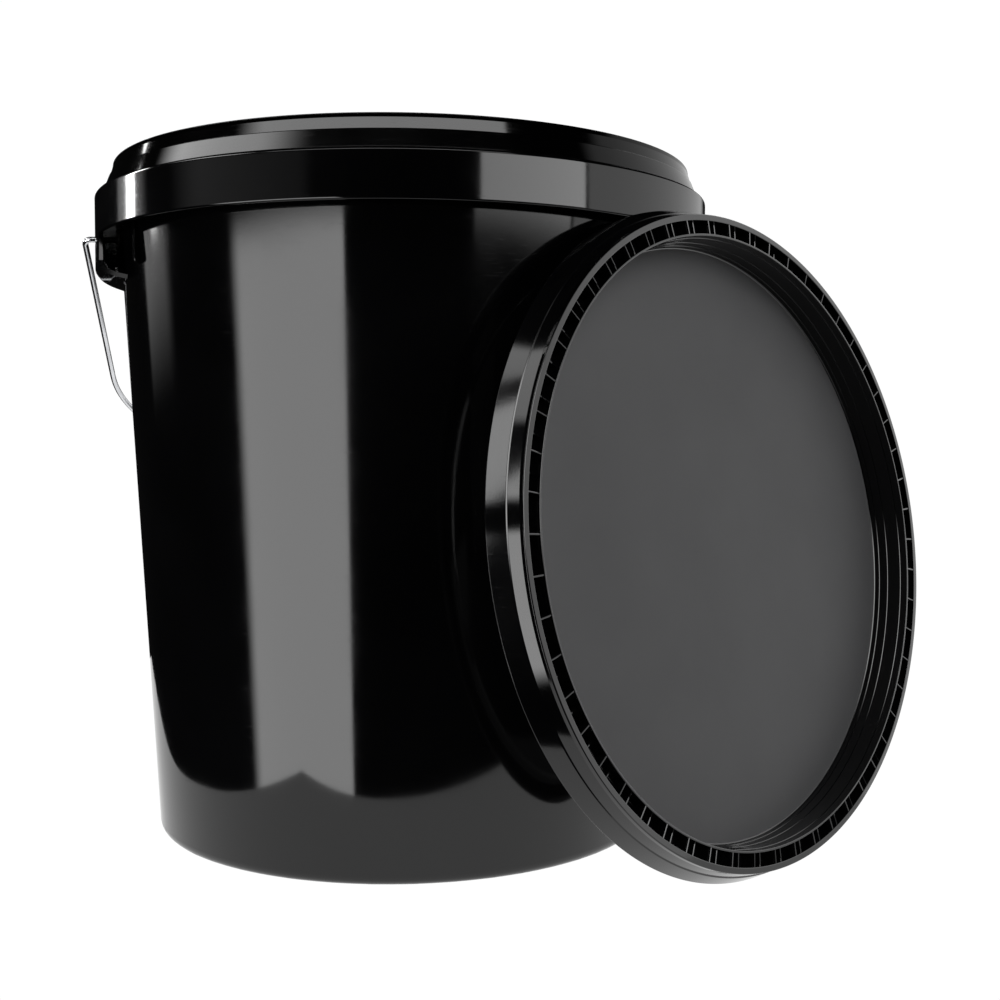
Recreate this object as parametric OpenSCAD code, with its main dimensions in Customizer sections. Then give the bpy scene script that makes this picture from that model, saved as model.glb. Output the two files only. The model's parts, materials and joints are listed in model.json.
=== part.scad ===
// Plastic fermenting bucket with a wire bail, a fitted lid and a second lid that leans on it.
// Millimetres, +Z up. The origin is the centre of the bucket's base.
// The bail turns about the X axis direction through the two ears, and it hangs at the back (+Y).

/* [Bucket] */
// Outer radius of the base
base_r = 154.6; // [153:0.1:155]
// How much the wall's radius grows for each mm of height
wall_taper = 0.0572; // [0.054:0.0002:0.059]
// Thickness of the bucket's wall
wall_t = 2.4; // [2:0.1:3]
// Outer radius of the collar
collar_r = 190; // [188:0.5:194]
// Height of the collar's lower edge
collar_bottom_z = 360; // [356:0.1:361]
// Height of the collar's flat top
collar_top_z = 386; // [385.4:0.1:386.2]
// Height of the lid's top ring when the lid is fitted
lid_top_z = 405.5; // [405.4:0.1:406]

/* [Lid] */
// Outer radius of the lid's top ring
lid_r = 179.1; // [179:0.1:179.3]
// Outer radius of the skirt's lower edge
skirt_r = 185.8; // [185.6:0.1:186]
// Depth from the top ring to the skirt's lower edge
skirt_depth = 19; // [18.6:0.1:19.1]
// Depth of the recessed panel below the top ring
panel_depth = 22.3; // [22:0.1:24]
// Number of ribs in each of the channel's two sets
rib_count = 56; // [24:1:60]
// Thickness of one channel rib
rib_t = 1; // [0.8:0.1:1.4]

/* [Bail] */
// Diameter of the bail's wire
wire_d = 3.6; // [3:0.1:4]
// Height of the bail's pivot axis
pivot_z = 364.6; // [364:0.1:366]
// Distance from the middle plane to each leg's centre line
leg_x = 198.8; // [198:0.1:204]
// Length of each straight leg
leg_len = 134; // [133:1:140]
// Radius of the two big corners
corner_r = 85; // [85:1:90]
// How far the bail hangs back from straight down, in degrees
hang_deg = 54; // [53:0.5:58]
// Outer diameter of the hand grip
grip_d = 17; // [14:0.5:18]
// Length of the hand grip
grip_len = 100; // [80:1:120]

/* [Leaning lid] */
// Distance of the leaning lid's ring centre from the bucket's axis
lean_out = 238.6; // [238.6:0.1:260]
// Direction of that centre about the bucket's axis, in degrees
lean_dir_deg = -40.72; // [-41:0.01:-40.5]
// Height of the leaning lid's ring centre
lean_z = 186.7; // [186.7:0.1:187.2]
// Direction that the leaning lid faces, in degrees
lean_face_deg = -52.63; // [-52.9:0.01:-52.4]
// How far the leaning lid tips back from upright, in degrees
lean_back_deg = 7.74; // [7.5:0.01:7.74]

/* [Hidden] */
$fn = 180;

// Bucket
foot_in_r = base_r - 14;
pad_r = 118;
foot_h = 1.2;
floor_t = 2;
base_round = 6;
skin_t = 2.2;
edge_round = 1.6;
neck_r = 179.1;
neck_in_r = neck_r - 1.8;
neck_tip_z = lid_top_z - 8.6;
bead_r = 180.9;
bead_z = collar_top_z + 3.5;
function wall_r(z) = base_r + wall_taper * z;

// Ears
ear_half_w = 58;
ear_low_z = 336;
ear_corner_z = 344;
ear_round = 16;
hole_play = 0.08;
rib_w = 3;
rib_y = 80;

// Lid section, heights measured down from the top ring
bevel_d = 2.43;
band_d = 8.6;
band_r = 181.25;
step_r = 181.85;
lid_t = 1.5;
channel_r0 = 168.4;
channel_r1 = 175.7;
channel_d = 8.4;
seat_d = 10.3;
groove_r0 = 177;
groove_r1 = 179.8;
groove_d = 5.5;
recess_r = 167.1;
step_d = [4.5, 13.2, 18.8];
low_rib_d = 3.7;
rib_d = 0.3;

// Seal: a round cord in the lid's groove
seal_cord_r = 0.95;
seal_r = groove_r0 + seal_cord_r + 0.1;
seal_d = 7.3;

// Bail
wire_r = wire_d / 2;
pin_in_x = 180;
head_r = 3.2;
head_t = 2;
knee_r = 4;
bail_depth = leg_len + corner_r;

// A rounded rectangle seen from its side: half width, low edge, high edge, corner radius
module ear_outline() {
    translate([-ear_half_w, ear_low_z - 4 + ear_round])
        square([2 * ear_half_w, collar_bottom_z + 3 - ear_low_z - ear_round + 4]);
    translate([-ear_half_w + ear_round, ear_low_z - 4])
        square([2 * (ear_half_w - ear_round), ear_round + 1]);
    for (side = [-1, 1])
        translate([side * (ear_half_w - ear_round), ear_low_z - 4 + ear_round])
            circle(r = ear_round);
}

// The ear's section: a hood under the collar, open above and closed below
module ear_section() {
    polygon([
        [wall_r(ear_low_z) - 1, ear_low_z - 1.5],
        [collar_r - 9, ear_low_z],
        [collar_r - 3, ear_low_z + 2.4],
        [collar_r - 0.8, ear_low_z + 4.6],
        [collar_r, ear_corner_z],
        [collar_r, collar_bottom_z + 2],
        [collar_r - skin_t, collar_bottom_z + 2],
        [collar_r - skin_t, ear_corner_z + 0.5],
        [collar_r - skin_t - 2.6, ear_low_z + 4.4],
        [collar_r - 9.5, ear_low_z + 2.1],
        [wall_r(ear_low_z) - 1, ear_low_z + 0.6]
    ]);
}

module ears() {
    intersection() {
        rotate_extrude()
            ear_section();
        rotate([90, 0, 90])
            linear_extrude(height = 2 * collar_r + 20, center = true)
                ear_outline();
    }
}

// The bucket's section: foot, tapered wall, hollow collar and the neck that the lid covers
module bucket_section() {
    floor_z = foot_h + floor_t;
    in_corner_r = wall_r(floor_z) - wall_t - base_round;
    polygon(concat(
        [[0, 0], [pad_r, 0], [pad_r + 2, foot_h], [foot_in_r - 2, foot_h], [foot_in_r, 0]],
        [for (a = [0:15:90]) [
            base_r - base_round + base_round * sin(a),
            base_round * (1 - cos(a))
        ]],
        [
            [wall_r(collar_top_z - skin_t), collar_top_z - skin_t],
            [collar_r - skin_t, collar_top_z - skin_t],
            [collar_r - skin_t, collar_bottom_z + 0.4],
            [collar_r - skin_t + 0.4, collar_bottom_z],
            [collar_r - 0.5, collar_bottom_z],
            [collar_r, collar_bottom_z + 0.5]
        ],
        [for (a = [0:15:90]) [
            collar_r - edge_round + edge_round * cos(a),
            collar_top_z - edge_round + edge_round * sin(a)
        ]],
        [
            [wall_r(collar_top_z) + 0.4, collar_top_z],
            [neck_r, collar_top_z + 2],
            [bead_r, bead_z],
            [bead_r, bead_z + 2],
            [neck_r, bead_z + 3.5],
            [neck_r, neck_tip_z - 0.6],
            [neck_r - 0.6, neck_tip_z],
            [neck_in_r + 0.6, neck_tip_z],
            [neck_in_r, neck_tip_z - 0.6],
            [neck_in_r - 0.4, neck_tip_z - 4],
            [wall_r(collar_top_z) - wall_t, collar_top_z],
            [wall_r(floor_z + base_round) - wall_t, floor_z + base_round]
        ],
        [for (a = [15:15:75]) [
            in_corner_r + base_round * cos(a),
            floor_z + base_round * (1 - sin(a))
        ]],
        [[in_corner_r, floor_z], [0, floor_z]]
    ));
}

// Upright ribs beside each ear, between the wall and the collar
module collar_ribs() {
    for (side = [-1, 1], end = [-1, 1])
        rotate([0, 0, end * asin(rib_y / wall_r(collar_bottom_z))])
            translate([side > 0 ? wall_r(ear_low_z) - 1 : -wall_r(collar_bottom_z) - 3, -rib_w / 2, ear_low_z + 4])
                cube([wall_r(collar_bottom_z) - wall_r(ear_low_z) + 4, rib_w, collar_top_z - skin_t - ear_low_z - 3]);
}

module bucket() {
    color([0.02, 0.02, 0.022])
        difference() {
            union() {
                rotate_extrude()
                    bucket_section();
                ears();
                collar_ribs();
            }
            translate([0, 0, pivot_z])
                rotate([0, 90, 0])
                    difference() {
                        cylinder(r = wire_r + hole_play, h = 2 * collar_r + 10, center = true);
                        cylinder(r = wire_r + 1, h = 2 * (collar_r - 6), center = true);
                    }
        }
}

// The lid's section, with its top ring at height 0
module lid_section() {
    polygon([
        [0, -panel_depth - 1.8],
        [recess_r - 3.4, -panel_depth - 1.8],
        [channel_r0 - 0.4, -panel_depth + 0.6],
        [channel_r0 + 0.6, -seat_d],
        [groove_r0, -seat_d],
        [groove_r0, -groove_d],
        [groove_r1 - 1, -groove_d],
        [groove_r1, -seat_d],
        [groove_r1 + 0.6, -seat_d],
        [skirt_r - lid_t - 1, -skirt_depth + 2.6],
        [skirt_r - lid_t - 3, -skirt_depth + 1.8],
        [skirt_r - lid_t - 3, -skirt_depth + 1],
        [skirt_r - lid_t, -skirt_depth],
        [skirt_r - 0.3, -skirt_depth],
        [skirt_r, -skirt_depth + 0.3],
        [step_r, -band_d - 0.3],
        [step_r - 0.2, -band_d],
        [band_r, -band_d + 0.1],
        [lid_r + 0.2, -bevel_d],
        [lid_r, -0.5],
        [lid_r - 0.5, 0],
        [channel_r1 + 0.2, 0],
        [channel_r1, -0.2],
        [channel_r1, -channel_d],
        [channel_r0, -channel_d],
        [channel_r0, -0.3],
        [channel_r0 - 0.3, 0],
        [recess_r + 0.3, 0],
        [recess_r, -0.3],
        [recess_r - 0.1, -step_d[0]],
        [recess_r - 0.4, -step_d[0] - 0.3],
        [recess_r - 0.5, -step_d[1]],
        [recess_r - 0.8, -step_d[1] - 0.3],
        [recess_r - 0.9, -step_d[2]],
        [recess_r - 1.2, -step_d[2] - 0.3],
        [recess_r - 1.3, -panel_depth + 1.2],
        [recess_r - 2.4, -panel_depth],
        [0, -panel_depth]
    ]);
}

// One set of ribs across the channel, with their tops at a depth and turned by a share of the pitch
module channel_ribs(depth, share) {
    for (i = [0:rib_count - 1])
        rotate([0, 0, (i + share) * 360 / rib_count])
            translate([channel_r0 - 0.2, -rib_t / 2, -channel_d - 0.2])
                cube([channel_r1 - channel_r0 + 0.4, rib_t, channel_d + 0.2 - depth]);
}

module lid_shape() {
    rotate_extrude()
        lid_section();
    channel_ribs(rib_d, 0.5);
    channel_ribs(low_rib_d, 0);
}

module seal_shape() {
    translate([0, 0, -seal_d])
        rotate_extrude()
            translate([seal_r, 0])
                circle(r = seal_cord_r, $fn = 48);
}

// Places a lid's own frame where the second lid stands, on its skirt's edge, against the collar
module leaning() {
    rotate([0, 0, lean_dir_deg])
        translate([lean_out, 0, lean_z])
            rotate([0, 0, lean_face_deg - lean_dir_deg])
                rotate([0, 90 - lean_back_deg, 0])
                    children();
}

module lid() {
    color([0.025, 0.025, 0.027])
        translate([0, 0, lid_top_z])
            lid_shape();
}

module lid_seal() {
    color([0.12, 0.12, 0.13])
        translate([0, 0, lid_top_z])
            seal_shape();
}

module spare_lid() {
    color([0.025, 0.025, 0.027])
        leaning()
            lid_shape();
}

module spare_lid_seal() {
    color([0.12, 0.12, 0.13])
        leaning()
            seal_shape();
}

// Turns the bail's flat shape, drawn hanging straight down in the XZ plane, to where it rests
module hanging() {
    translate([0, 0, pivot_z])
        rotate([hang_deg, 0, 0])
            children();
}

// One half of the bail: headed pin, knee, straight leg and big corner
module bail_half() {
    translate([pin_in_x, 0, 0])
        rotate([0, 90, 0])
            cylinder(r = wire_r, h = leg_x - knee_r - pin_in_x);
    translate([pin_in_x - head_t, 0, 0])
        rotate([0, 90, 0])
            cylinder(r = head_r, h = head_t);
    translate([leg_x - knee_r, 0, -knee_r])
        rotate([90, 0, 0])
            rotate_extrude(angle = 90)
                translate([knee_r, 0])
                    circle(r = wire_r, $fn = 48);
    translate([leg_x, 0, -leg_len])
        cylinder(r = wire_r, h = leg_len - knee_r);
    translate([leg_x - corner_r, 0, -leg_len])
        rotate([90, 0, 0])
            rotate([0, 0, -90])
                rotate_extrude(angle = 90)
                    translate([corner_r, 0])
                        circle(r = wire_r, $fn = 48);
    translate([0, 0, -bail_depth])
        rotate([0, 90, 0])
            cylinder(r = wire_r, h = leg_x - corner_r);
}

module bail_wire() {
    color([0.75, 0.76, 0.78])
        hanging() {
            bail_half();
            mirror([1, 0, 0])
                bail_half();
        }
}

// A barrel-shaped grip with finger rings that turns on the wire
module hand_grip() {
    end_r = grip_d / 2 - 1.5;
    color([0.03, 0.03, 0.032])
        hanging()
            translate([0, 0, -bail_depth])
                rotate([0, 90, 0])
                    difference() {
                        union() {
                            cylinder(r = end_r, h = grip_len, center = true);
                            for (i = [-3:3])
                                translate([0, 0, i * grip_len / 8])
                                    cylinder(r = grip_d / 2, h = grip_len / 14, center = true);
                        }
                        cylinder(r = wire_r + hole_play, h = grip_len + 2, center = true);
                    }
}

bucket();
bail_wire();
hand_grip();
lid();
lid_seal();
spare_lid();
spare_lid_seal();
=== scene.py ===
import json
import math

import bpy
from mathutils import Matrix, Vector

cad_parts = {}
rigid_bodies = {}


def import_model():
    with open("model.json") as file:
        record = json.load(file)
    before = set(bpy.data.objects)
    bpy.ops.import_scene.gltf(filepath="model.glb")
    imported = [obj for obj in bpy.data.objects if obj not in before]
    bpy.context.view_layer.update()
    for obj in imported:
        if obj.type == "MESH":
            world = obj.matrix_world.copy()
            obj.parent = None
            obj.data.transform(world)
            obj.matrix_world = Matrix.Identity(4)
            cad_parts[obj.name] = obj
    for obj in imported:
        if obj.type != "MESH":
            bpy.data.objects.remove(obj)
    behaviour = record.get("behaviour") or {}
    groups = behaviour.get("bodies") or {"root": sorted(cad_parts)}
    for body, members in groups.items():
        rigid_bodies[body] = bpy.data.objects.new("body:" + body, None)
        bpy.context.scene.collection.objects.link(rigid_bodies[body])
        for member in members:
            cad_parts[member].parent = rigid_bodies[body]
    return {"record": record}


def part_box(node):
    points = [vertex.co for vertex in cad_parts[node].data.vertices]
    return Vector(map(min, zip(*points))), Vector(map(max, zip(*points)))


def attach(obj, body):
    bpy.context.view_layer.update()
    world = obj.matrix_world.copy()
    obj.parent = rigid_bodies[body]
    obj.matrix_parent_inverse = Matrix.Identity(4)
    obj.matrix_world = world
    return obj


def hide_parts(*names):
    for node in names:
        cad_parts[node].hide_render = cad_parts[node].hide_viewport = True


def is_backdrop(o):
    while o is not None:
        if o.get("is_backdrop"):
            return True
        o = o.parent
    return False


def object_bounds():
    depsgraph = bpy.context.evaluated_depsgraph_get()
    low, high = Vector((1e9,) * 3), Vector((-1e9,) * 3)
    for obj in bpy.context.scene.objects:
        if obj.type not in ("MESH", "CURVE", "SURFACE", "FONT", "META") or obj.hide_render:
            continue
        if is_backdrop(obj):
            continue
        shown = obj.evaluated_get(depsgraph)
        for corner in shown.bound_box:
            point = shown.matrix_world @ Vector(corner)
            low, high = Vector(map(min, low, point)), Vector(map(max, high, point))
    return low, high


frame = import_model()
cad_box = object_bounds()
MM = 0.001
record = frame["record"]
joints = {j["name"]: j for j in record["behaviour"]["joints"]}

# Heights and radii of the bucket and the lid, in mm, as the CAD has them
BASE_R, TAPER, WALL_T = 154.6, 0.0572, 2.4
COLLAR_R, COLLAR_LOW, COLLAR_TOP = 190.0, 360.0, 386.0
LID_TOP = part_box("lid")[1][2] / MM
SKIN_T = 2.2
EAR_HALF_W, EAR_ROUND, EAR_LOW, EAR_JOIN = 58.0, 16.0, 336.0, 344.5
WIRE_R = 1.8
PIVOT_Z = joints["bail_swing"]["pos_m"][2] / MM
LEG_X, LEG_LEN, CORNER_R, KNEE_R = 198.8, 134.0, 85.0, 4.0
HANG = math.radians(54)


def wall_r(z):
    return BASE_R + TAPER * z


# ---------------------------------------------------------------- mesh making
def add_mesh(name, verts, faces, smooth_deg=28.0):
    """Makes an object from points in mm, smooth except at edges sharper than smooth_deg."""
    mesh = bpy.data.meshes.new(name)
    mesh.from_pydata([Vector(v) * MM for v in verts], [], faces)
    mesh.validate()
    mesh.shade_smooth()
    mesh.set_sharp_from_angle(angle=math.radians(smooth_deg))
    obj = bpy.data.objects.new(name, mesh)
    bpy.context.scene.collection.objects.link(obj)
    return obj


def rounded(points, steps=4):
    """Turns a closed outline of (x, y, radius) into points, with an arc at each corner.
    A guard point beside each arc keeps the flat runs' shading flat."""
    out = []
    n = len(points)
    for i, (x, y, rad) in enumerate(points):
        p = Vector((x, y))
        a = Vector(points[i - 1][:2]) - p
        b = Vector(points[(i + 1) % n][:2]) - p
        if rad <= 0 or a.length < 1e-6 or b.length < 1e-6:
            out.append((x, y))
            continue
        half = a.angle(b) / 2
        if half > math.pi / 2 - 0.01:
            out.append((x, y))
            continue
        cut = min(rad / math.tan(half), 0.45 * a.length, 0.45 * b.length)
        r = cut * math.tan(half)
        centre = p + (a.normalized() + b.normalized()).normalized() * (r / math.sin(half))
        p0, p1 = p + a.normalized() * cut, p + b.normalized() * cut
        guard = min(0.3, 0.04 * a.length, 0.04 * b.length)
        out.append(tuple(p0 + a.normalized() * guard))
        t0 = math.atan2(p0.y - centre.y, p0.x - centre.x)
        t1 = math.atan2(p1.y - centre.y, p1.x - centre.x)
        turn = (t1 - t0 + math.pi) % (2 * math.pi) - math.pi
        for k in range(steps + 1):
            t = t0 + turn * k / steps
            out.append((centre.x + r * math.cos(t), centre.y + r * math.sin(t)))
        out.append(tuple(p1 + b.normalized() * guard))
    return out


def split_long(points, longest):
    """Adds points along an outline's long straight runs."""
    out = []
    for i, p in enumerate(points):
        q = points[(i + 1) % len(points)]
        out.append(p)
        parts = int(math.dist(p, q) // longest)
        if min(p[0], q[0]) > 0.01:
            for k in range(1, parts + 1):
                f = k / (parts + 1)
                out.append((p[0] + (q[0] - p[0]) * f, p[1] + (q[1] - p[1]) * f))
    return out


def lathe(name, outline, angles, tweak=None, smooth_deg=28.0):
    """Turns an outline of (r, z), closed except along the axis, round Z at the given angles in degrees."""
    verts, rows = [], []
    for i, (r, z) in enumerate(outline):
        if r < 0.01:
            verts.append((0, 0, z))
            rows.append([len(verts) - 1] * len(angles))
            continue
        row = []
        for a in angles:
            rr, zz = tweak(a, r, z) if tweak else (r, z)
            t = math.radians(a)
            verts.append((rr * math.cos(t), rr * math.sin(t), zz))
            row.append(len(verts) - 1)
        rows.append(row)
    faces = []
    for i in range(len(rows)):
        a, b = rows[i], rows[(i + 1) % len(rows)]
        if a[0] == a[1] and b[0] == b[1]:
            continue
        for k in range(len(angles)):
            m = (k + 1) % len(angles)
            quad = []
            for v in (a[k], a[m], b[m], b[k]):
                if v not in quad:
                    quad.append(v)
            faces.append(quad)
    return add_mesh(name, verts, faces, smooth_deg)


def sweep(name, path, radius, sides=20):
    """A round wire along a path of points, its two ends closed by flat caps."""
    pts = [Vector(p) for p in path]
    dirs = []
    for i in range(len(pts)):
        d = pts[min(i + 1, len(pts) - 1)] - pts[max(i - 1, 0)]
        dirs.append(d.normalized())
    side = dirs[0].orthogonal().normalized()
    verts, faces = [], []
    for p, d in zip(pts, dirs):
        side = (side - d * side.dot(d)).normalized()
        up = d.cross(side)
        for k in range(sides):
            t = 2 * math.pi * k / sides
            verts.append(p + (side * math.cos(t) + up * math.sin(t)) * radius)
    for i in range(len(pts) - 1):
        for k in range(sides):
            m = (k + 1) % sides
            faces.append([i * sides + k, i * sides + m, (i + 1) * sides + m, (i + 1) * sides + k])
    faces.append(list(range(sides))[::-1])
    faces.append([(len(pts) - 1) * sides + k for k in range(sides)])
    return add_mesh(name, verts, faces)


def join(name, objs):
    """Joins objects into the first one."""
    bpy.ops.object.select_all(action="DESELECT")
    for o in objs:
        o.select_set(True)
    bpy.context.view_layer.objects.active = objs[0]
    bpy.ops.object.join()
    objs[0].name = name
    return objs[0]


# ------------------------------------------------------------------ materials
def material(name, metallic=0.0):
    mat = bpy.data.materials.new(name)
    mat.use_nodes = True
    tree = mat.node_tree
    bsdf = tree.nodes["Principled BSDF"]
    bsdf.inputs["Metallic"].default_value = metallic
    bsdf.inputs["IOR"].default_value = 1.5
    return mat, tree, bsdf


def noise(tree, scale, detail=4.0, stretch=(1, 1, 1), rough=0.5):
    """Noise in object coordinates, in cycles per metre."""
    coord = tree.nodes.new("ShaderNodeTexCoord")
    mapping = tree.nodes.new("ShaderNodeMapping")
    mapping.inputs["Scale"].default_value = stretch
    tex = tree.nodes.new("ShaderNodeTexNoise")
    tex.inputs["Scale"].default_value = scale
    tex.inputs["Detail"].default_value = detail
    tex.inputs["Roughness"].default_value = rough
    tree.links.new(coord.outputs["Object"], mapping.inputs["Vector"])
    tree.links.new(mapping.outputs["Vector"], tex.inputs["Vector"])
    return tex.outputs["Fac"]


def ramp(tree, source, stops):
    """A colour ramp; each stop is (position, colour)."""
    node = tree.nodes.new("ShaderNodeValToRGB")
    ends = node.color_ramp.elements
    for i, (pos, colour) in enumerate(stops):
        e = ends[i] if i < 2 else ends.new(pos)
        e.position = pos
        e.color = (*colour, 1)
    tree.links.new(source, node.inputs["Fac"])
    return node.outputs["Color"]


def remap(tree, source, a, b, c, d):
    """Maps a to b onto c to d."""
    node = tree.nodes.new("ShaderNodeMapRange")
    for key, value in (("From Min", a), ("From Max", b), ("To Min", c), ("To Max", d)):
        node.inputs[key].default_value = value
    tree.links.new(source, node.inputs["Value"])
    return node.outputs["Result"]


def mix(tree, kind, a, b):
    """A sum or product of two values."""
    node = tree.nodes.new("ShaderNodeMath")
    node.operation = kind
    for k, v in enumerate((a, b)):
        if isinstance(v, (int, float)):
            node.inputs[k].default_value = v
        else:
            tree.links.new(v, node.inputs[k])
    return node.outputs["Value"]


def bump(tree, bsdf, heights):
    """Stacks bump layers, each (height, strength, distance in mm)."""
    last = None
    for height, strength, dist in heights:
        node = tree.nodes.new("ShaderNodeBump")
        node.inputs["Strength"].default_value = strength
        node.inputs["Distance"].default_value = dist * MM
        tree.links.new(height, node.inputs["Height"])
        if last:
            tree.links.new(last, node.inputs["Normal"])
        last = node.outputs["Normal"]
    tree.links.new(last, bsdf.inputs["Normal"])


def moulded(name, dark, light, rough_lo, rough_hi, grain=0.02, wave=0.05, scuff_top=0.0, shine=0.5):
    """Black moulded plastic: slow ripples, a fine orange peel, hairline scratches and scuffed lower edges."""
    mat, tree, bsdf = material(name)
    bsdf.inputs["Specular IOR Level"].default_value = shine
    tone = noise(tree, 14, 5)
    tree.links.new(ramp(tree, tone, [(0.3, dark), (0.75, light)]), bsdf.inputs["Base Color"])
    cloud = remap(tree, noise(tree, 22, 6, rough=0.6), 0.35, 0.7, rough_lo, rough_hi)
    hair = remap(tree, noise(tree, 90, 3, stretch=(1, 1, 14)), 0.62, 0.72, 0.0, 0.05)
    rough = mix(tree, "ADD", cloud, hair)
    if scuff_top > 0:
        coord = tree.nodes.new("ShaderNodeTexCoord")
        split = tree.nodes.new("ShaderNodeSeparateXYZ")
        tree.links.new(coord.outputs["Object"], split.inputs["Vector"])
        low = remap(tree, split.outputs["Z"], 0.0, scuff_top * MM, 1.0, 0.0)
        worn = mix(tree, "MULTIPLY", low, remap(tree, noise(tree, 160, 4), 0.45, 0.65, 0.0, 0.3))
        rough = mix(tree, "ADD", rough, worn)
    tree.links.new(rough, bsdf.inputs["Roughness"])
    bump(tree, bsdf, [
        (noise(tree, 9, 2), wave, 1.0),
        (noise(tree, 900, 2), grain, 0.1),
    ])
    return mat


gloss = moulded("black_gloss", (0.0006, 0.0006, 0.0007), (0.0014, 0.0014, 0.0016), 0.06, 0.1, scuff_top=9)
lid_gloss = moulded("lid_gloss", (0.0006, 0.0006, 0.0007), (0.0014, 0.0014, 0.0016), 0.06, 0.1)
panel_satin = moulded("lid_panel", (0.036, 0.036, 0.037), (0.042, 0.042, 0.043), 0.5, 0.56, grain=0.05, wave=0.03, shine=0.12)
grip_black = moulded("grip_satin", (0.006, 0.006, 0.0065), (0.012, 0.012, 0.013), 0.32, 0.42, grain=0.12)
seal_black = moulded("seal_rubber", (0.01, 0.01, 0.011), (0.018, 0.018, 0.019), 0.5, 0.62, grain=0.2)

steel, tree, bsdf = material("wire_steel", metallic=1.0)
tree.links.new(
    ramp(tree, noise(tree, 60, 5), [(0.3, (0.62, 0.63, 0.65)), (0.7, (0.82, 0.83, 0.85))]),
    bsdf.inputs["Base Color"],
)
tree.links.new(remap(tree, noise(tree, 240, 4), 0.35, 0.7, 0.16, 0.28), bsdf.inputs["Roughness"])
bump(tree, bsdf, [(noise(tree, 1400, 2, stretch=(1, 0.2, 0.2)), 0.12, 0.05)])


def dress(obj, *mats):
    """Gives an object its materials."""
    obj.data.materials.clear()
    for m in mats:
        obj.data.materials.append(m)


# --------------------------------------------------------------------- bucket
def angles_round(step, extra=()):
    """Even steps round the circle in degrees, with some extra angles among them."""
    base = [i * step for i in range(int(round(360 / step)))]
    return sorted(set([round(a, 4) for a in base] + [round(a % 360, 4) for a in extra]))


ear_edge = math.degrees(math.asin(EAR_HALF_W / COLLAR_R))
edges = []
for middle in (0, 180):
    for side in (-1, 1):
        edges += [middle + side * (ear_edge - 0.04), middle + side * (ear_edge + 0.04)]
BUCKET_ANGLES = angles_round(1.25, edges)


def in_ear(angle):
    return abs(COLLAR_R * math.sin(math.radians(angle))) < EAR_HALF_W


def collar_lip(angle, r, z):
    """Between the ears' edges the collar's lip runs down to meet the hood."""
    if in_ear(angle) and r > COLLAR_R - SKIN_T - 0.3 and z < COLLAR_LOW + 1.5:
        return (COLLAR_R if r > COLLAR_R - 1 else COLLAR_R - SKIN_T), EAR_JOIN
    return r, z


NECK_R, NECK_IN_R, NECK_TIP = 179.1, 177.3, LID_TOP - 8.6
BEAD_R, BEAD_Z = 180.9, COLLAR_TOP + 3.5
FLOOR_Z = 3.2
bucket_outline = rounded([
    (0, 0, 0), (118, 0, 0.6), (120, 1.2, 0.6), (138.6, 1.2, 0.6), (140.6, 0, 0.6),
    (BASE_R, 0, 6), (wall_r(20), 20, 0),
    (wall_r(COLLAR_TOP - SKIN_T), COLLAR_TOP - SKIN_T, 1.5),
    (COLLAR_R - SKIN_T, COLLAR_TOP - SKIN_T, 1),
    (COLLAR_R - SKIN_T, COLLAR_LOW, 0.7), (COLLAR_R, COLLAR_LOW, 1.0),
    (COLLAR_R, COLLAR_TOP, 1.5),
    (wall_r(COLLAR_TOP) + 0.6, COLLAR_TOP, 0.6), (NECK_R, COLLAR_TOP + 2, 0.5),
    (BEAD_R, BEAD_Z, 0.5), (BEAD_R, BEAD_Z + 2, 0.5), (NECK_R, BEAD_Z + 3.5, 0.5),
    (NECK_R, NECK_TIP, 0.6), (NECK_IN_R, NECK_TIP, 0.6),
    (NECK_IN_R - 0.4, NECK_TIP - 4, 0.6), (wall_r(COLLAR_TOP) - WALL_T, COLLAR_TOP, 1),
    (wall_r(FLOOR_Z) - WALL_T, FLOOR_Z, 6), (0, FLOOR_Z, 0),
], steps=5)
bucket = lathe("bucket_body", split_long(bucket_outline, 14), BUCKET_ANGLES, collar_lip)


def ear_hood(name, middle):
    """The hood below the collar: its rounded section runs between the ear's two open ends."""
    w = wall_r(EAR_LOW)
    section = rounded([
        (w - 1.2, EAR_LOW - 1.5, 0), (COLLAR_R - 9, EAR_LOW, 3), (COLLAR_R - 2.6, EAR_LOW + 2.2, 4),
        (COLLAR_R, EAR_LOW + 5.4, 5), (COLLAR_R, EAR_JOIN, 0),
        (COLLAR_R - SKIN_T, EAR_JOIN, 0), (COLLAR_R - SKIN_T, EAR_LOW + 6.2, 3),
        (COLLAR_R - 4.6, EAR_LOW + 4.1, 3), (COLLAR_R - 9.6, EAR_LOW + 2.1, 3),
        (w - 1.2, EAR_LOW + 0.6, 0),
    ], steps=5)
    cols, verts, faces = 44, [], []
    for k in range(cols + 1):
        for r, z in section:
            half = EAR_HALF_W - EAR_ROUND + math.sqrt(
                max(0.0, EAR_ROUND ** 2 - max(0.0, EAR_LOW - 4 + EAR_ROUND - z) ** 2))
            a = math.asin(half / r) * (2 * k / cols - 1) + math.radians(middle)
            verts.append((r * math.cos(a), r * math.sin(a), z))
    m = len(section)
    for k in range(cols):
        for i in range(m):
            j = (i + 1) % m
            faces.append([k * m + i, (k + 1) * m + i, (k + 1) * m + j, k * m + j])
    faces.append(list(range(m)))
    faces.append([cols * m + i for i in range(m)][::-1])
    return add_mesh(name, verts, faces, 35)


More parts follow.
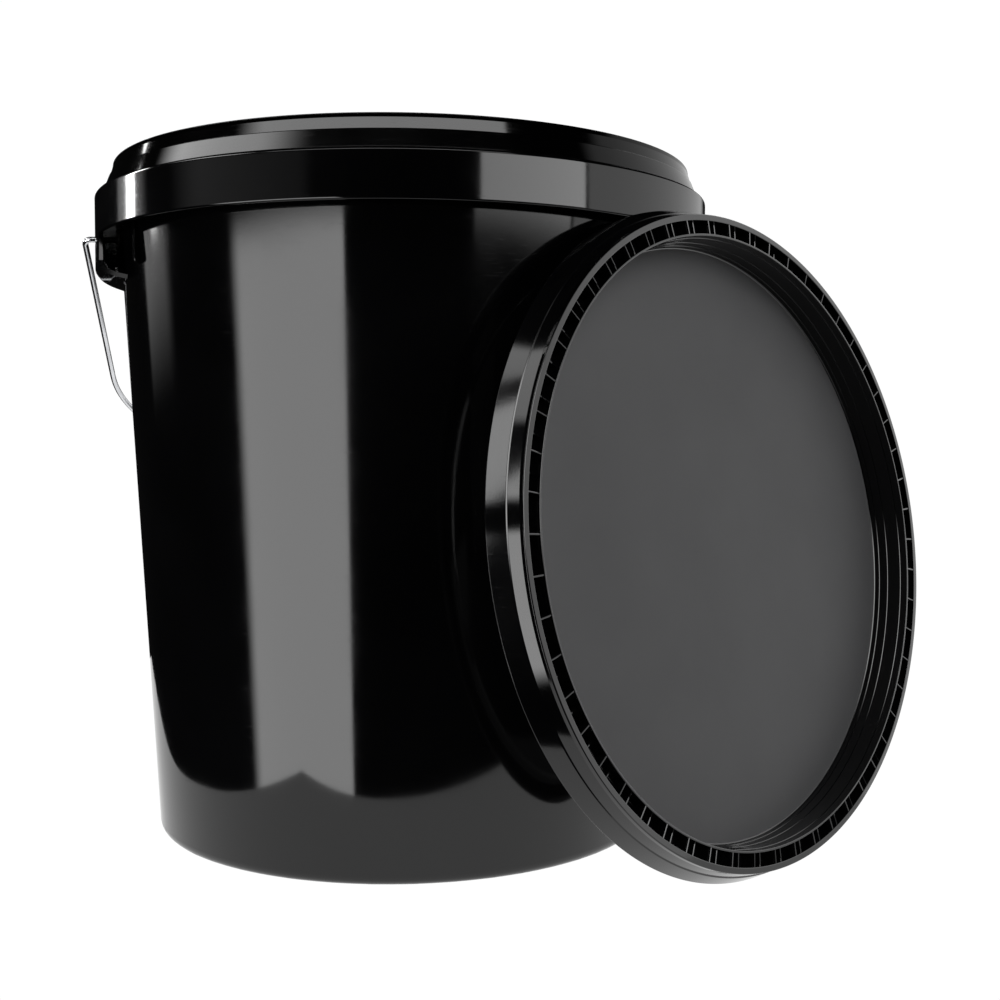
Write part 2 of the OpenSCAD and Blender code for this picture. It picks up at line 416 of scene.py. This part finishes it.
def gusset(name, angle):
    """A thin upright rib between the wall and the collar."""
    outline = rounded([
        (wall_r(345) - 1.4, 339.5, 0), (178.0, 341, 1.5), (178.2, COLLAR_TOP - SKIN_T + 0.5, 0),
        (wall_r(345) - 1.4, COLLAR_TOP - SKIN_T + 0.5, 0),
    ])
    verts, faces, n = [], [], len(outline)
    spin = Matrix.Rotation(math.radians(angle), 3, "Z")
    for y, lift in ((-1.5, 0.25), (-1.25, 0), (1.25, 0), (1.5, 0.25)):
        for r, z in outline:
            rr = r - lift if r > 177 else r
            verts.append(spin @ Vector((rr, y, z)))
    for layer in range(3):
        for i in range(n):
            j = (i + 1) % n
            faces.append([layer * n + i, layer * n + j, (layer + 1) * n + j, (layer + 1) * n + i])
    faces.append(list(range(n))[::-1])
    faces.append([3 * n + i for i in range(n)])
    return add_mesh(name, verts, faces)


gusset_angle = math.degrees(math.asin(80 / wall_r(COLLAR_LOW)))
trim = [ear_hood("ear", 0), ear_hood("ear", 180)]
trim += [gusset("gusset", mid + s * gusset_angle) for mid in (0, 180) for s in (-1, 1)]
bucket = join("bucket_body", [bucket] + trim)
dress(bucket, gloss)
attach(bucket, "bucket")
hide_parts("bucket")

# ----------------------------------------------------------------------- lids
LID_R, SKIRT_R, SKIRT_D, PANEL_D, LID_T = 179.1, 185.8, 19.0, 22.3, 1.5
CHANNEL_R0, CHANNEL_R1, CHANNEL_D, SEAT_D = 168.4, 175.7, 8.4, 10.3
GROOVE_R0, GROOVE_R1, GROOVE_D, RECESS_R = 177.0, 179.8, 5.5, 167.1
RIB_COUNT = 56
lid_outline = [
    (0, -PANEL_D - 1.8, 0), (RECESS_R - 3.4, -PANEL_D - 1.8, 1.5), (CHANNEL_R0 - 0.4, -PANEL_D + 0.6, 1.5),
    (CHANNEL_R0 + 0.6, -SEAT_D, 1), (GROOVE_R0, -SEAT_D, 0.4), (GROOVE_R0, -GROOVE_D, 0.4),
    (GROOVE_R1 - 1, -GROOVE_D, 0.4), (GROOVE_R1, -SEAT_D, 0.4), (GROOVE_R1 + 0.6, -SEAT_D, 0.4),
    (SKIRT_R - LID_T - 1, -SKIRT_D + 2.6, 0.5), (SKIRT_R - LID_T - 3, -SKIRT_D + 1.8, 0.3),
    (SKIRT_R - LID_T - 3, -SKIRT_D + 1, 0.3), (SKIRT_R - LID_T, -SKIRT_D, 0.3),
    (SKIRT_R, -SKIRT_D, 0.5), (181.85, -8.8, 0.35), (181.2, -8.5, 0.2),
    (LID_R + 0.25, -2.43, 0.5), (LID_R, 0, 0.6), (CHANNEL_R1, 0, 0.35),
    (CHANNEL_R1, -CHANNEL_D, 0.4), (CHANNEL_R0, -CHANNEL_D, 0.4), (CHANNEL_R0, 0, 0.4),
    (RECESS_R, 0, 0.4), (RECESS_R - 0.1, -4.5, 0.2), (RECESS_R - 0.4, -4.8, 0.2),
    (RECESS_R - 0.5, -13.2, 0.2), (RECESS_R - 0.8, -13.5, 0.2), (RECESS_R - 0.9, -18.8, 0.2),
    (RECESS_R - 1.2, -19.1, 0.2), (RECESS_R - 1.3, -PANEL_D, 1.2), (0, -PANEL_D, 0),
]


def lid_mesh(name):
    """A lid lying flat, its top ring at height 0, with the ribs in its channel."""
    body = lathe(name, split_long(rounded(lid_outline, 4), 9), angles_round(1.0))
    verts, faces = [], []

    def rib(angle, depth):
        low, high = -CHANNEL_D - 0.2, -depth
        cut = [(-0.5, low), (0.5, low), (0.5, high - 0.35), (0.4, high - 0.12), (0.2, high),
               (-0.2, high), (-0.4, high - 0.12), (-0.5, high - 0.35)]
        start = len(verts)
        spin = Matrix.Rotation(math.radians(angle), 3, "Z")
        for r in (CHANNEL_R0 - 0.3, CHANNEL_R1 + 0.3):
            verts.extend(spin @ Vector((r, y, z)) for y, z in cut)
        for i in range(8):
            j = (i + 1) % 8
            faces.append([start + i, start + j, start + 8 + j, start + 8 + i])
        faces.append([start + i for i in range(8)][::-1])
        faces.append([start + 8 + i for i in range(8)])

    for i in range(RIB_COUNT):
        rib((i + 0.5) * 360 / RIB_COUNT, 0.3)
        rib(i * 360 / RIB_COUNT, 3.7)
    ribs = add_mesh("ribs", verts, faces)
    whole = join(name, [body, ribs])
    dress(whole, lid_gloss, panel_satin)
    for p in whole.data.polygons:
        c = p.center / MM
        if math.hypot(c.x, c.y) < RECESS_R - 2.2 and c.z > -PANEL_D - 0.5:
            p.material_index = 1
    return whole


def seal_mesh(name):
    """The round sealing cord in a lid's groove."""
    ring = [(178.05 + 0.95 * math.cos(t), -7.3 + 0.95 * math.sin(t))
            for t in (2 * math.pi * k / 16 for k in range(16))]
    obj = lathe(name, ring, angles_round(1.5))
    dress(obj, seal_black)
    return obj


ahead = math.radians(-52.63)
back = math.radians(7.74)
lean_dir = math.radians(-40.72)
leaning = (
    Matrix.Translation(Vector((238.6 * math.cos(lean_dir), 238.6 * math.sin(lean_dir), 186.7)) * MM)
    @ Matrix.Rotation(ahead, 4, "Z")
    @ Matrix.Rotation(math.pi / 2 - back, 4, "Y")
)
fitted = Matrix.Translation((0, 0, LID_TOP * MM))
for prefix, place, body in (("lid", fitted, "fitted_lid"), ("spare_lid", leaning, "leaning_lid")):
    top = lid_mesh(prefix + "_moulding")
    top.data.transform(place)
    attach(top, body)
    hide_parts(prefix)
    seal = seal_mesh(prefix + "_seal_cord")
    seal.data.transform(place)
    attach(seal, body)
    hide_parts(prefix + "_seal")

# ----------------------------------------------------------------------- bail
hanging = Matrix.Translation((0, 0, PIVOT_Z * MM)) @ Matrix.Rotation(HANG, 4, "X")


def arc(cx, cz, r, a0, a1, steps):
    """Points on a circle in the XZ plane."""
    return [(cx + r * math.cos(t), 0, cz + r * math.sin(t))
            for t in (math.radians(a0 + (a1 - a0) * k / steps) for k in range(steps + 1))]


half = [(180.0, 0, 0), (187.0, 0, 0)]
half += arc(LEG_X - KNEE_R, -KNEE_R, KNEE_R, 90, 0, 10)
half += [(LEG_X, 0, -LEG_LEN * f) for f in (0.2, 0.5, 0.8)]
half += arc(LEG_X - CORNER_R, -LEG_LEN, CORNER_R, 0, -90, 30)
half += [(LEG_X - CORNER_R - 55, 0, -LEG_LEN - CORNER_R)]
wire = sweep("bail", half + [(-x, y, z) for x, y, z in reversed(half)], WIRE_R, 24)
heads = []
for side in (-1, 1):
    head = lathe("head", rounded([(0, 0, 0), (3.2, 0, 0.7), (3.2, 2, 0.7), (0, 2, 0)]), angles_round(10))
    head.data.transform(Matrix.Rotation(math.radians(90 * side), 4, "Y"))
    head.data.transform(Matrix.Translation((side * 178 * MM, 0, 0)))
    heads.append(head)
wire = join("bail_steel", [wire] + heads)
wire.data.transform(hanging)
dress(wire, steel)
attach(wire, "bail")
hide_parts("bail_wire")

grip_outline = [(1.9, 50), (6.2, 50)]
for k in range(97):
    x = 49.6 - 99.2 * k / 96
    swell = max((max(0.0, 1 - ((x - c) / 4.6) ** 2) for c in (-37.5, -25, -12.5, 0, 12.5, 25, 37.5)))
    grip_outline.append((7.0 + 1.45 * math.sqrt(swell), x))
grip_outline += [(6.2, -50), (1.9, -50)]
grip = lathe("grip_moulding", grip_outline, angles_round(6), smooth_deg=50)
grip.data.transform(Matrix.Rotation(math.pi / 2, 4, "Y"))
grip.data.transform(hanging @ Matrix.Translation((0, 0, -(LEG_LEN + CORNER_R) * MM)))
dress(grip, grip_black)
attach(grip, "grip")
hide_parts("hand_grip")


# ---------------------------------------------------------------------- stage
def glow(name, strength):
    """A plain white glowing material, with its node tree and its emission node."""
    mat = bpy.data.materials.new(name)
    mat.use_nodes = True
    t = mat.node_tree
    t.nodes.clear()
    out = t.nodes.new("ShaderNodeOutputMaterial")
    em = t.nodes.new("ShaderNodeEmission")
    em.inputs["Strength"].default_value = strength
    t.links.new(em.outputs["Emission"], out.inputs["Surface"])
    return mat, t, em


def along(value, u):
    """A plain number, or the value at u (0 to 1) in an evenly spaced run of them."""
    if isinstance(value, (int, float)):
        return value
    k = min(int(u * (len(value) - 1)), len(value) - 2)
    return value[k] + (value[k + 1] - value[k]) * (u * (len(value) - 1) - k)


def shell(name, az0, az1, el0, el1, dist, cols, rows, mat):
    """A patch of a big sphere round the object, facing it, with its own 0 to 1 coordinates.
    Its lower and upper limits may vary along its width."""
    verts, faces, uv = [], [], []
    for j in range(rows + 1):
        for i in range(cols + 1):
            u, v = i / cols, j / rows
            low, high = along(el0, u), along(el1, u)
            a, e = math.radians(az0 + (az1 - az0) * u), math.radians(low + (high - low) * v)
            verts.append(Vector((math.cos(e) * math.cos(a), math.cos(e) * math.sin(a), math.sin(e))) * dist
                         + Vector((0, 0, 0.2)))
            uv.append((u, v))
    for j in range(rows):
        for i in range(cols):
            k = j * (cols + 1) + i
            faces.append([k + 1, k, k + cols + 1, k + cols + 2])
    mesh = bpy.data.meshes.new(name)
    mesh.from_pydata(verts, [], faces)
    layer = mesh.uv_layers.new(name="UVMap")
    for loop in mesh.loops:
        layer.data[loop.index].uv = uv[loop.vertex_index]
    mesh.materials.append(mat)
    obj = bpy.data.objects.new(name, mesh)
    bpy.context.scene.collection.objects.link(obj)
    obj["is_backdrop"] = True
    return obj


def softbox(name, az0, az1, el0, el1, left, right, soft=(0.1, 0.1, 0.1, 0.1)):
    """A lamp panel seen only in reflections: strengths at its two sides, and soft borders (left, right, low, high)."""
    mat, t, em = glow(name, 1)
    coord = t.nodes.new("ShaderNodeTexCoord")
    split = t.nodes.new("ShaderNodeSeparateXYZ")
    t.links.new(coord.outputs["UV"], split.inputs["Vector"])

    def edge(axis, a, b):
        node = t.nodes.new("ShaderNodeMapRange")
        node.interpolation_type = "SMOOTHSTEP"
        node.inputs["From Min"].default_value = a
        node.inputs["From Max"].default_value = b
        t.links.new(split.outputs[axis], node.inputs["Value"])
        return node.outputs["Result"]

    level = remap(t, split.outputs["X"], 0, 1, left, right)
    for axis, a, b in (("X", 0, soft[0]), ("X", 1, 1 - soft[1]), ("Y", 0, soft[2]), ("Y", 1, 1 - soft[3])):
        level = mix(t, "MULTIPLY", level, edge(axis, a, b))
    t.links.new(level, em.inputs["Strength"])
    clear = t.nodes.new("ShaderNodeBsdfTransparent")
    both = t.nodes.new("ShaderNodeAddShader")
    t.links.new(em.outputs["Emission"], both.inputs[0])
    t.links.new(clear.outputs["BSDF"], both.inputs[1])
    t.links.new(both.outputs["Shader"], t.nodes["Material Output"].inputs["Surface"])
    obj = shell(name, az0, az1, el0, el1, 6.0, 12, 8, mat)
    obj.visible_camera = False
    obj.visible_shadow = False
    return obj


def sheet(name, corners, mat):
    """One flat face on the floor, from its corners in metres."""
    mesh = bpy.data.meshes.new(name)
    mesh.from_pydata(corners, [], [list(range(len(corners)))])
    mesh.materials.append(mat)
    obj = bpy.data.objects.new(name, mesh)
    bpy.context.scene.collection.objects.link(obj)
    obj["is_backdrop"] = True
    return obj


def glow_reach(a):
    """How far the floor's glow reaches from the bucket's axis in direction a, in mm.
    Two bulges meet in a cusp at -128 degrees, as their reflections do on the wall."""
    if -128 < a < 40:
        off = a + 101
        reach = 283 + (0.06 if off < 0 else 0.033) * off ** 2
    else:
        off = (a + 162 + 180) % 360 - 180
        reach = 264 + (0.001 * abs(off) ** 3 if off < 0 else 0.054 * off ** 2)
    return min(reach, 700)


white = glow("studio_white", 1.02)[0]
backdrop = shell("backdrop", 0, 360, -3, 90, 9.0, 48, 12, white)
floor = sheet("floor", [(-9, -9, 0), (9, -9, 0), (9, 9, 0), (-9, 9, 0)], white)
for o in (backdrop, floor):
    o.visible_glossy = False
    o.visible_diffuse = False
    o.visible_shadow = False
rim = []
for a in range(-180, 180, 2):
    reach, t = glow_reach(a) * MM, math.radians(a)
    rim.append((reach * math.cos(t), reach * math.sin(t), -0.0005))
near = sheet("floor_near", rim, glow("floor_glow", 0.95)[0])
near.visible_camera = False


def lit_only(name, pieces, lamps):
    """These lamps light only these pieces."""
    group = bpy.data.collections.new(name)
    for piece in pieces:
        group.objects.link(piece)
    for lamp in lamps:
        lamp.light_linking.receiver_collection = group


def named(*names):
    """Objects by name."""
    return [bpy.data.objects[n] for n in names]


lit_only("lit_bucket", named("bucket_body", "lid_seal_cord", "spare_lid_seal_cord", "bail_steel", "grip_moulding"), [
    softbox("lamp_left_low", -164, -115.5, -30, 6, 4.4, 4.6, (0.12, 0.03, 0.02, 0.06)),
    softbox("lamp_strip", 142.5, 165, -1, 26, 0.8, 0.8, (0.1, 0.3, 0.3, 0.1)),
    softbox("lamp_strip_core", 150.6, 156.4, 6.5, 30, 40, 40, (0.12, 0.12, 0.18, 0.1)),
    softbox("lamp_collar_tone", 176, 236, 8.6, 18, 0.36, 0.1, (0.3, 0.1, 0.2, 0.2)),
    softbox("lamp_left_high", 158, 202, 35, 50, 6.0, 5.6, (0.3, 0.1, 0.05, 0.1)),
    softbox("lamp_front_high", -153, -48, 40, 49, 3.6, 3.6, (0.03, 0.01, 0.05, 0.03)),
    softbox("lamp_right_near", -68, -27, 3.2, 22, 3.6, 4.6, (0.03, 0.02, 0.26, 0.1)),
    softbox("lamp_right", -27, 60, -14, 22, 1.3, 0.8, (0.02, 0.1, 0.05, 0.1)),
])
lit_only("lit_lid", named("lid_moulding"), [
    softbox("lid_upper", -168, -48, (36, 41, 42, 42, 40), (43.5, 48.8, 51, 51, 49), 4.1, 3.7, (0.12, 0.015, 0.1, 0.1)),
    softbox("lid_lower", 150, 224, (31.5, 37.2, 42.3, 46.4, 49.6), (42, 47, 52, 56, 58), 4.3, 4.3, (0.2, 0.36, 0.03, 0.1)),
    softbox("lid_glint", 140.5, 144, 25.8, 28.6, 9, 9, (0.2, 0.2, 0.2, 0.2)),
    softbox("lid_right", -12, 75, 12, 46, 0.28, 0.8, (0.1, 0.1, 0.1, 0.1)),
])
lit_only("lit_spare_lid", named("spare_lid_moulding"), [
    softbox("spare_side", -156.5, -146, 14, 58, 5.0, 5.0, (0.1, 0.1, 0.08, 0.08)),
    softbox("spare_low", -163, -144.8, -40, 8, 5.3, 5.3, (0.1, 0.06, 0.15, 0.06)),
    softbox("spare_fill", -92, -42, 4, 52, 7.8, 7.8, (0.2, 0.2, 0.2, 0.2)),
    softbox("spare_high", -184, -160, 36, 62, 2.6, 2.6, (0.1, 0.1, 0.15, 0.1)),
    softbox("spare_front", -40, 60, -34, 48, 1.1, 2.3, (0.05, 0.1, 0.1, 0.1)),
])

world = bpy.data.worlds.new("studio")
world.use_nodes = True
world.node_tree.nodes["Background"].inputs["Color"].default_value = (0.004, 0.004, 0.004, 1)
bpy.context.scene.world = world
bpy.context.scene.view_settings.view_transform = "Standard"

# --------------------------------------------------------------------- camera
cam = bpy.data.cameras.new("camera")
cam.lens, cam.sensor_width = 48.32, 36.0
cam.clip_end = 50
eye = bpy.data.objects.new("camera", cam)
eye.location = (-0.05296, -0.86597, 0.23705)
eye.rotation_euler = (math.radians(87.656), 0, math.radians(-7.53))
bpy.context.scene.collection.objects.link(eye)
bpy.context.scene.camera = eye


def plain(value):
    """Plain nested lists of floats."""
    return [plain(v) for v in value] if hasattr(value, "__len__") else float(value)


bpy.context.view_layer.update()
{"cad": plain(cad_box), "visual": plain(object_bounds())}
